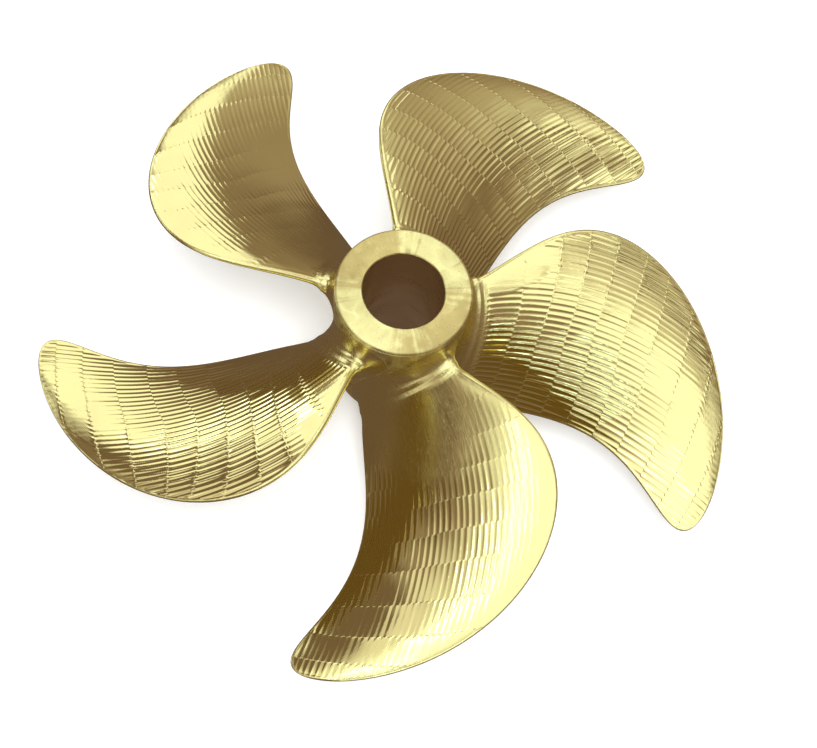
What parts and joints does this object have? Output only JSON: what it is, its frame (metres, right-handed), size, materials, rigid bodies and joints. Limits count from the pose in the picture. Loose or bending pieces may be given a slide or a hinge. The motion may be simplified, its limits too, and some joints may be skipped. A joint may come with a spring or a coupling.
{
  "type": "ship propeller",
  "caption": "Right-handed fixed-pitch ship propeller with strongly skewed blades and a bored hub, cast in one piece in bronze.",
  "frame": {"origin": "on the shaft axis at the height of the centre of mass", "axes": "+Z along the shaft axis towards the forward hub face, +X through the middle of one blade's root"},
  "size_m": [2.3123, 2.2629, 0.58],
  "materials": {
    "bronze": "milled and ground"
  },
  "bodies": {
    "root": {"propeller_casting": "bronze"}
  },
  "joints": []
}
